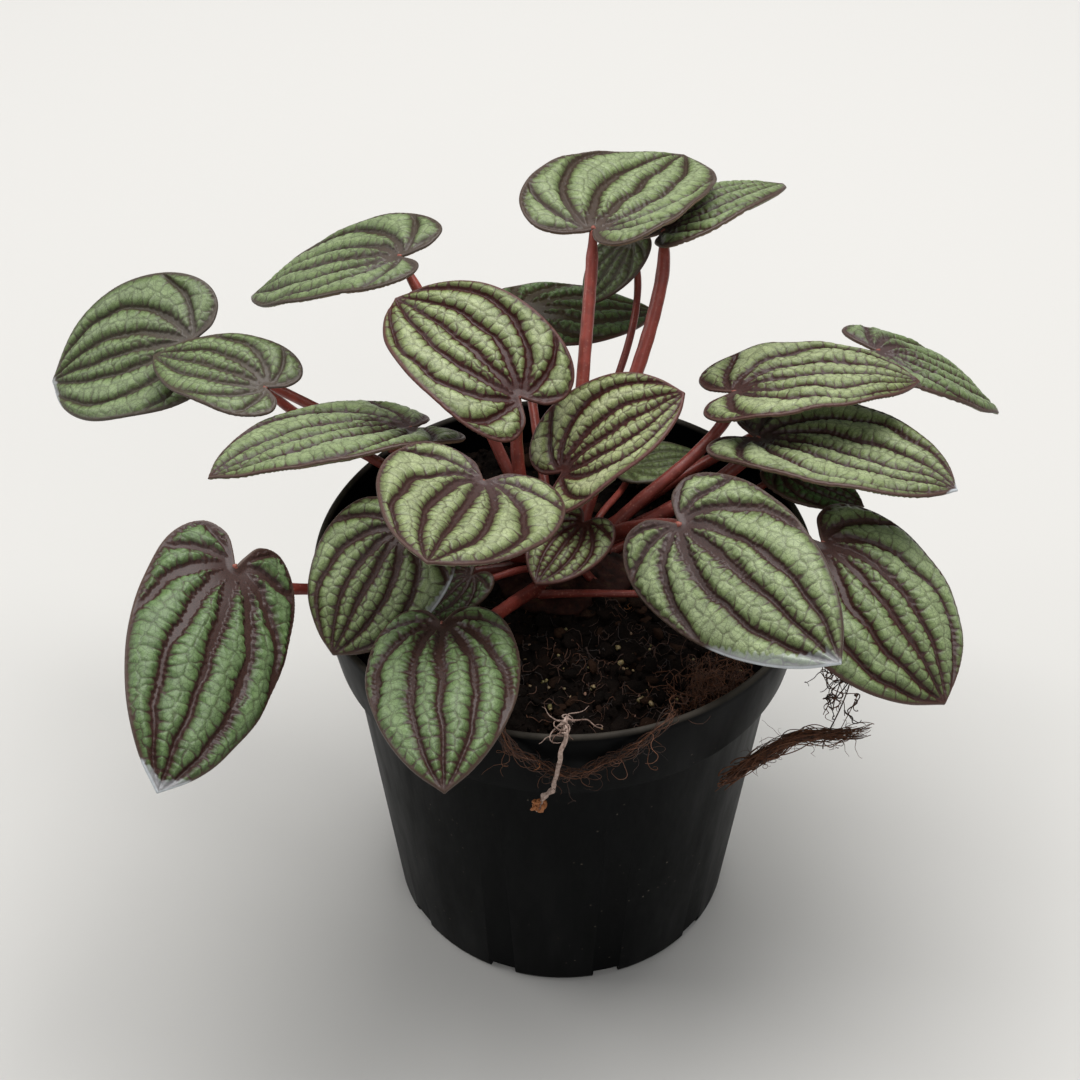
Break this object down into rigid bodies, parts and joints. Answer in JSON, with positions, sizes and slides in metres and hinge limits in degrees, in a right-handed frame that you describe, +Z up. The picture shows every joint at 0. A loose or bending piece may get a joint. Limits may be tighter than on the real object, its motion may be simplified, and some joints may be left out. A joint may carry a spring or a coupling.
{
  "type": "potted peperomia",
  "caption": "Bushy houseplant with heart-shaped, dark-veined leaves on reddish stalks, rooted in dark soil in a black tapered nursery pot with a deep collar.",
  "frame": {"origin": "middle of the pot's underside, on the ground", "axes": "+Z up out of the soil, -Y the front of the plant, +X its right, along the widest spread of the leaves"},
  "size_m": [0.2159, 0.1717, 0.1483],
  "materials": {
    "pot": "satin black injection-moulded polypropylene",
    "soil": "damp dark peat with grains and fibres; matte_plastic stands in for soil",
    "crown": "rough brown stem tissue",
    "leaf": "satin fleshy leaf, green with maroon veins; matte_plastic stands in for leaf tissue",
    "petiole": "satin fleshy red stalk; matte_plastic stands in for stalk tissue",
    "loose_root": "dry fibrous brown root"
  },
  "bodies": {
    "root": {"pot": "pot", "soil": "soil", "crown": "crown", "leaf_01": "leaf", "leaf_02": "leaf", "leaf_03": "leaf", "leaf_04": "leaf", "leaf_05": "leaf", "leaf_06": "leaf", "leaf_07": "leaf", "leaf_08": "leaf", "leaf_09": "leaf", "leaf_10": "leaf", "leaf_11": "leaf", "leaf_12": "leaf", "leaf_13": "leaf", "leaf_14": "leaf", "leaf_15": "leaf", "leaf_16": "leaf", "leaf_17": "leaf", "leaf_18": "leaf", "leaf_19": "leaf", "leaf_20": "leaf", "leaf_21": "leaf", "leaf_22": "leaf", "leaf_23": "leaf", "petiole_01": "petiole", "petiole_02": "petiole", "petiole_03": "petiole", "petiole_04": "petiole", "petiole_05": "petiole", "petiole_06": "petiole", "petiole_07": "petiole", "petiole_08": "petiole", "petiole_09": "petiole", "petiole_10": "petiole", "petiole_11": "petiole", "petiole_12": "petiole", "petiole_13": "petiole", "petiole_14": "petiole", "petiole_15": "petiole", "petiole_16": "petiole", "petiole_17": "petiole", "petiole_18": "petiole", "petiole_19": "petiole", "petiole_20": "petiole", "petiole_21": "petiole", "petiole_22": "petiole", "petiole_23": "petiole", "root_strand": "loose_root", "dried_stalk": "loose_root", "root_tangle": "loose_root", "fibre_bundle": "loose_root"}
  },
  "joints": []
}
